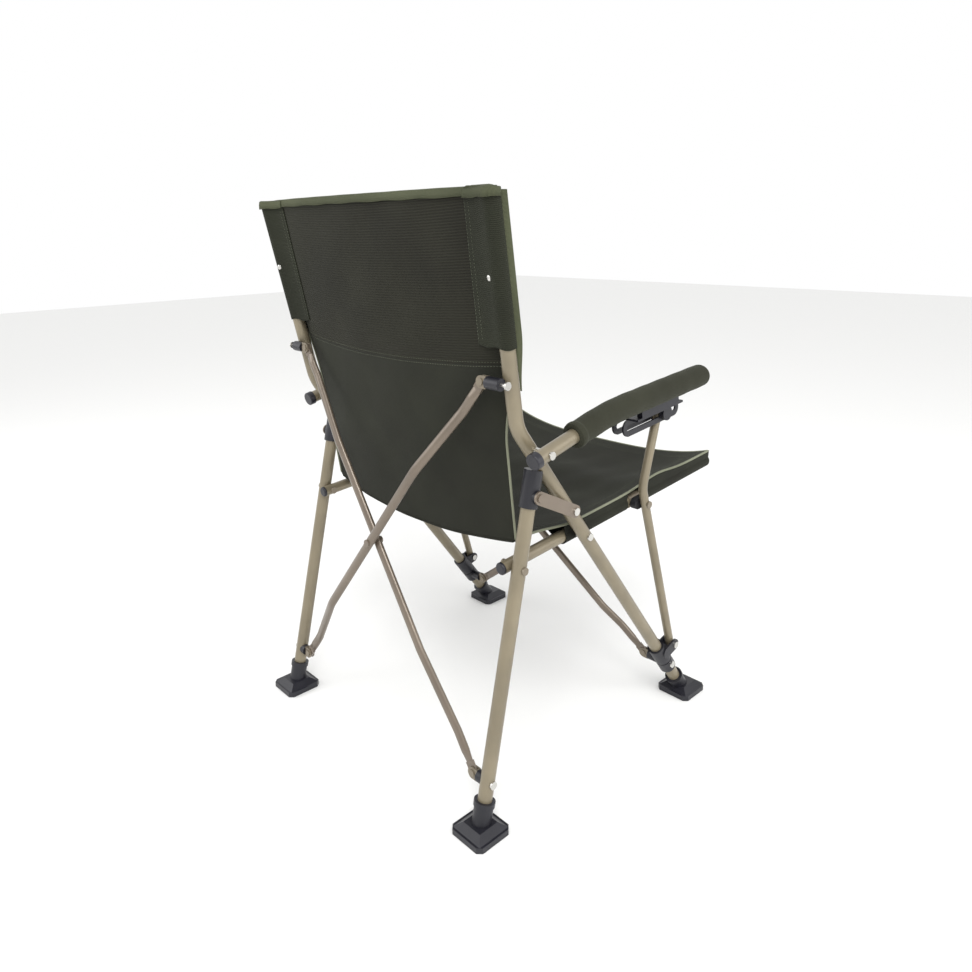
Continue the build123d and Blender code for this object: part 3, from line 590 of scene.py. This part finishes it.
# %% Stitches on the back
OUT = 0.0010
rows = []
for lift in (0.0, -0.0065):
    path = back_point(s_line * 0.985, seam_z(s_line) + 0.004 + lift)
    face = back_facing(s_line * 0.985, seam_z(s_line) + 0.004 + lift)
    rows.append(stitches(f"seam_row_{len(rows)}", path + face * OUT, face))
    rows.append(stitches(f"seam_row_{len(rows)}", path - face * OUT, face))
seam_stitches = dress(joined("back_seam_stitches", rows), THREAD, "front_leg_right", BACK_HALF)
z_row = np.linspace(SLEEVE_LOW + 0.006, BACK_TOP - 0.010, 120)
for name, side in SIDES.items():
    rows = []
    for w in (0.90, 0.985):
        path = sleeve_point(side, w + 0 * z_row, z_row)
        face = sleeve_facing(side, w + 0 * z_row, z_row)
        face = face * np.sign(face[:, 1:2])
        rows.append(stitches(f"row_{name}_{w}", path + face * 0.0009, face))
    row = joined(f"sleeve_stitches_{name}", rows)
    dress(row, THREAD, f"front_leg_{name}")
print("stitches", len(seam_stitches.data.polygons) // 8)

# %% Press studs
STUD_Z, STUD_RADIUS, STUD_HEIGHT = 0.808, 0.0046, 0.0021


def press_stud(name, side, w):
    """A low dome on the sleeve: rings of radius r*cos(k) at height h*sin(k), closed at the top."""
    centre = sleeve_point(side, np.array([w]), np.array([STUD_Z]))[0]
    face = sleeve_facing(side, np.array([w]), np.array([STUD_Z]))[0]
    face = face * np.sign(face[1])
    turn = np.array(Vector(face).to_track_quat("Z", "Y").to_matrix())
    k = np.linspace(0, 0.97 * np.pi / 2, 9)
    a = np.linspace(0, 2 * np.pi, 24, endpoint=False)
    radius = STUD_RADIUS * np.cos(k)[:, None]
    height = STUD_HEIGHT * np.sin(k)[:, None] + 0 * a
    dome = np.stack([radius * np.cos(a), radius * np.sin(a), height], axis=-1)
    placed = centre + (dome + [0, 0, 0.0004]) @ turn.T
    return sheet_mesh(name, placed, round_section=True, close_ends=True)


studs = {}
for name, w in (("right", 0.56), ("left", 0.49)):
    studs[name] = press_stud(f"press_stud_{name}", SIDES[name], w)
    dress(studs[name], RIVET, f"front_leg_{name}")
print("press studs", len(studs))

# %% Piping on the lower edges
drop = np.linspace(0.703, CREASE_Z + 0.002, 110)
for name, side in SIDES.items():
    path = back_point(side + 0 * drop, drop)
    path[:, 0] += side * 0.0008
    cord = piping(f"back_piping_{name}", path, 0.0019, (0, 1, 0))
    dress(cord, PIPING_CLOTH, "front_leg_right", BACK_HALF)
print("piping length", drop[0] - drop[-1])

# %% [markdown]
# ## The seat
# The seat hangs between the two rails and starts at the fold of the back. Its edges stand a
# little above the rails, and the middle hangs lower by a rounded trough that is flatter at the
# front. Both edges of the trough come from the rails' own line, so the cloth meets its sleeves.


# %% Shape of the seat
SEAT_FRONT = -0.3255


def seat_point(s, q):
    """Place on the seat for s across and q from 0 (the fold) to 1 (the front edge).
    height = rail + rise - sag * (1 - |s|^p), where p grows from 2 at the fold to 3.2 in front."""
    y_edge = CREASE_Y + (SEAT_FRONT - CREASE_Y) * q
    edge_x = CREASE_X + (0.2495 - CREASE_X) * ease(-y_edge, -0.155, -0.07)
    rise = 0.0195 + 0.0061 * np.exp(-((q / 0.14) ** 2))
    rise = rise + 0.008 * np.exp(-(((y_edge + 0.150) / 0.055) ** 2))
    middle = np.sin(np.pi * np.clip(q, 0, 1))
    sag = 0.018 + 0.010 * ease(q, 0, 0.3) + 0.010 * middle - 0.003 * ease(q, 0.8, 1)
    power = 2 + 1.2 * ease(q, 0, 0.6)
    trough = 1 - (np.abs(s) + 1e-9) ** power
    fold = back_point(s, crease_z(s))[..., 1] - CREASE_Y
    y = y_edge + fold * (1 - np.clip(q, 0, 1)) ** 3 + 0.006 * (1 - s**2) * ease(q, 0.85, 1)
    crease = 0.0014 * np.sin(26 * q + 7 * s) * np.sin(12 * s - 9 * q) * (1 - s**4) * middle
    z = rail_z(y_edge) + rise - sag * trough + crease
    start = crease_z(s) - (rail_z(CREASE_Y) + 0.0256 - 0.018 * (1 - s**2))
    return np.stack([s * edge_x, y, z + start * (1 - np.clip(q, 0, 1)) ** 3], axis=-1)


s_grid, q_grid = np.meshgrid(np.linspace(-1, 1, 141), np.linspace(0, 1, 121))
seat_panel = thicken(sheet_mesh("seat_panel", seat_point(s_grid, q_grid), flip=True), CLOTH_WALL)
dress(seat_panel, CLOTH_SMOOTH, "seat_rail_right", SEAT_HALF)
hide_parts("seat_cloth")
print("seat", len(seat_panel.data.polygons), "faces")

# %% [markdown]
# ## Sleeves round the rails
# The seat's edge goes over the outside of each rail, under it, and back up to a seam below the
# seat. The sleeve has a gap where the arm post's clamp holds the rail.


# %% Rail sleeves
RAIL_ROUND = 0.0113


def rail_sleeve_point(side, w, y):
    """Place on a rail sleeve for w from 0 (seat edge) to 1 (seam under the seat).
    First quarter: from the edge to the top of an arc. Half: round the outside. Last: to the seam."""
    axis_z = rail_z(y)
    q = (y - CREASE_Y) / (SEAT_FRONT - CREASE_Y)
    start = seat_point(1.0 + 0 * y, q)
    start_out = start[..., 0] - RAIL_X
    start_up = start[..., 2] - 0.0012 - axis_z
    angle = np.radians(40 - 175 * np.clip((w - 0.22) / 0.5, 0, 1))
    out, up = RAIL_ROUND * np.cos(angle), RAIL_ROUND * np.sin(angle)
    lead = np.clip(w / 0.22, 0, 1)
    out = start_out + (out - start_out) * lead
    up = start_up + (up - start_up) * lead
    seam = seat_point(0.83 + 0 * y, q)
    run = np.clip((w - 0.72) / 0.28, 0, 1)
    out = out + (seam[..., 0] - RAIL_X - out) * run
    up = up + (seam[..., 2] - 0.0018 - axis_z - up) * run
    return np.stack([side * (RAIL_X + out), y, axis_z + up], axis=-1)


CLAMP_AHEAD = 0.155
CLAMP_Y = RAIL_PIVOT[0] - CLAMP_AHEAD * np.cos(RAIL_SLOPE)
SLEEVE_RUNS = {"rear": (0.092, CLAMP_Y + 0.022), "front": (CLAMP_Y - 0.026, SEAT_FRONT + 0.002)}
for name, side in SIDES.items():
    for run_name, (y_from, y_to) in SLEEVE_RUNS.items():
        w2, y2 = np.meshgrid(np.linspace(0, 1, 45), np.linspace(y_from, y_to, 61))
        points = rail_sleeve_point(side, w2, y2)
        piece = sheet_mesh(f"rail_sleeve_{run_name}_{name}", points, flip=side < 0)
        dress(thicken(piece, SLEEVE_WALL), CLOTH_SMOOTH, f"seat_rail_{name}")

# %% Piping, hem and stitches of the seat
q_line = np.linspace(0.01, 0.995, 150)
for name, side in SIDES.items():
    path = seat_point(side + 0 * q_line, q_line)
    path[:, 2] += 0.0012
    cord = piping(f"seat_piping_{name}", path, 0.0020, (0, 0, 1))
    dress(cord, PIPING_CLOTH, f"seat_rail_{name}")
front_path = seat_point(s_line * 0.995, 1 + 0 * s_line)
front_path[:, 1] -= 0.0012
cord = piping("front_piping", front_path, 0.0020, (0, 0, 1))
front_piping = dress(cord, PIPING_CLOTH, "seat_rail_right", SEAT_HALF)
fold_path = seat_point(s_line * 0.99, 0 * s_line)
fold_path[:, 2] -= 0.0008
cord = piping("fold_seam", fold_path, 0.0016, (0, 0, 1))
fold_seam = dress(cord, CLOTH_SMOOTH, "seat_rail_right", SEAT_HALF)

rows = []
for q in (0.955, 0.942):
    for way in (1, -1):
        face = facing_of(seat_point, s_line * 0.97, q + 0 * s_line)
        path = seat_point(s_line * 0.97, q + 0 * s_line) + face * OUT * way
        rows.append(stitches(f"hem_row_{len(rows)}", path, face))
for s in (-0.885, -0.862, 0.862, 0.885):
    face = facing_of(seat_point, s + 0 * q_line, q_line)
    wavy = s + 0.006 * np.sin(9 * q_line) * np.sign(s)
    path = seat_point(wavy, 0.03 + 0.9 * q_line) + face * OUT
    rows.append(stitches(f"edge_row_{len(rows)}", path, face))
seat_stitches = dress(joined("seat_stitches", rows), THREAD, "seat_rail_right", SEAT_HALF)
print("seat stitches", len(seat_stitches.data.polygons) // 8)

# %% [markdown]
# ## The arm pads
# Each arm has a foam sleeve under a cloth cover. It is an oval carried along the arm's gentle
# bend, a little fuller in the middle, with a folded cuff at the rear and a round closed front.


# %% Shape of the arm
ARM_X, PAD_REAR, PAD_FRONT, PAD_RADIUS = 0.295, 0.060, 0.408, 0.0195


def arm_z(ahead):
    """Height of the arm's line: 13.5 degrees, then 5 degrees, joined by a parabola."""
    steep, flat, half = np.tan(np.radians(13.5)), np.tan(np.radians(5.0)), 0.0446
    d = np.clip(ahead - 0.144, -half, half)
    curve = (flat - steep) / (4 * half) * (d + half) ** 2
    past = np.clip(ahead - 0.144 - half, 0, None) * (flat - steep)
    return ARM_PIVOT[1] + ahead * steep + curve + past


length = np.concatenate(
    [
        np.full(6, PAD_REAR),
        np.linspace(PAD_REAR, PAD_REAR + 0.012, 12),
        np.linspace(PAD_REAR + 0.014, PAD_FRONT - 0.017, 90),
        PAD_FRONT - 0.016 * (1 - np.sin(np.linspace(0, np.pi / 2, 16))),
    ]
)
length[:6] -= np.linspace(0, -1e-4, 6)
swell = 0.0004 * np.sin(np.pi * (length - PAD_REAR) / (PAD_FRONT - PAD_REAR))
body = PAD_RADIUS - 0.0003 + swell + 0.0002 * np.sin(length * 140)
cuff = 0.0011 * np.exp(-(((length - PAD_REAR - 0.006) / 0.0042) ** 4))
nose = np.sqrt(np.clip(1 - (np.clip(length - (PAD_FRONT - 0.016), 0, 0.016) / 0.016) ** 2, 0.0015, 1))
size = (body + cuff) * nose
size[:6] = np.linspace(0.0118, size[6], 6)
print("pad length", PAD_FRONT - PAD_REAR, "points", len(length))

# %% Arm pads and their seams
pads = {}
for name, side in SIDES.items():
    line = np.stack([side * ARM_X + 0 * length, ARM_PIVOT[0] - length, arm_z(length)], axis=1)
    points = carried(line, size, size * 0.985, (0, 0, 1), columns=48)
    pad = sheet_mesh(f"arm_pad_cover_{name}", points, round_section=True, close_ends=True)
    pads[name] = dress(pad, PAD_CLOTH, f"arm_{name}")
    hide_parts(f"arm_pad_{name}")
    ahead = np.linspace(PAD_REAR + 0.016, PAD_FRONT - 0.02, 120)
    seam = np.stack([side * ARM_X + 0 * ahead, ARM_PIVOT[0] - ahead, arm_z(ahead)], axis=1)
    face = np.array([-side * 0.80, 0.05, -0.60])
    face = np.broadcast_to(face / np.linalg.norm(face), seam.shape)
    row = stitches(f"pad_seam_{name}", seam + face * (PAD_RADIUS + 0.0003), face)
    dress(row, THREAD, f"arm_{name}")
print("pads", len(pads))

# %% [markdown]
# ## The soft pieces
# All the cloth pieces are made in the cells above. These sizes were measured along the finished
# panels: they agree by construction.

print("cloth pieces made")

# %% [markdown]
# ## Floor, light and camera
# A plain pale floor and soft light show the shapes without drawing attention. One broad light
# from above gives the tubes their long highlights; two wide ones fill the shadows.

# %% Floor and light
floor_mesh = bpy.data.meshes.new("floor")
floor_mesh.from_pydata([(-9, -9, 0), (9, -9, 0), (9, 9, 0), (-9, 9, 0)], [], [(0, 1, 2, 3)])
floor = bpy.data.objects.new("floor", floor_mesh)
bpy.context.scene.collection.objects.link(floor)
floor.location.z = -0.0005
floor_finish, _, floor_shader = finish_base("floor_finish", 0.9)
floor_shader.inputs["Base Color"].default_value = (0.86, 0.86, 0.85, 1)
floor_shader.inputs["Specular IOR Level"].default_value = 0.1
floor_mesh.materials.append(floor_finish)
bpy.context.scene.view_settings.view_transform = "Standard"

world = bpy.data.worlds.new("soft_room")
world.use_nodes = True
world.node_tree.nodes["Background"].inputs["Color"].default_value = (1.0, 1.0, 1.0, 1)
world.node_tree.nodes["Background"].inputs["Strength"].default_value = 1.0
bpy.context.scene.world = world


def soft_light(name, place, target, size, power):
    """A square light at a place that points at a target."""
    light = bpy.data.lights.new(name, "AREA")
    light.size = size
    light.energy = power
    lamp = bpy.data.objects.new(name, light)
    lamp.location = place
    lamp.rotation_euler = (Vector(target) - Vector(place)).to_track_quat("-Z", "Y").to_euler()
    bpy.context.scene.collection.objects.link(lamp)


soft_light("key_light", (-1.6, 1.5, 2.6), (0, 0, 0.45), 1.4, 55)
soft_light("fill_light", (-2.4, -0.6, 1.3), (0, 0, 0.5), 1.8, 22)
soft_light("far_light", (1.8, 1.8, 1.6), (0, 0, 0.5), 1.6, 18)
print("floor and lights ready")

# %% Camera
turn, tilt, roll = np.radians(227.25), np.radians(10.0), np.radians(-1.0)
backward = Vector((np.sin(turn) * np.cos(tilt), -np.cos(turn) * np.cos(tilt), np.sin(tilt)))
level_right = Vector((np.cos(turn), np.sin(turn), 0))
level_up = backward.cross(level_right)
right_way = level_right * np.cos(roll) + level_up * np.sin(roll)
up_way = level_up * np.cos(roll) - level_right * np.sin(roll)
camera_data = bpy.data.cameras.new("camera")
camera_data.lens = 28.9
camera_data.sensor_width = 36
camera_data.shift_x = 0.0096
camera_data.shift_y = -0.126
camera = bpy.data.objects.new("camera", camera_data)
view_frame = Matrix((right_way, up_way, backward)).transposed().to_4x4()
view_frame.translation = Vector((-1.005, 0.973, 0.875))
camera.matrix_world = view_frame
bpy.context.scene.collection.objects.link(camera)
bpy.context.scene.camera = camera
print("camera at", tuple(round(c, 3) for c in camera.location))
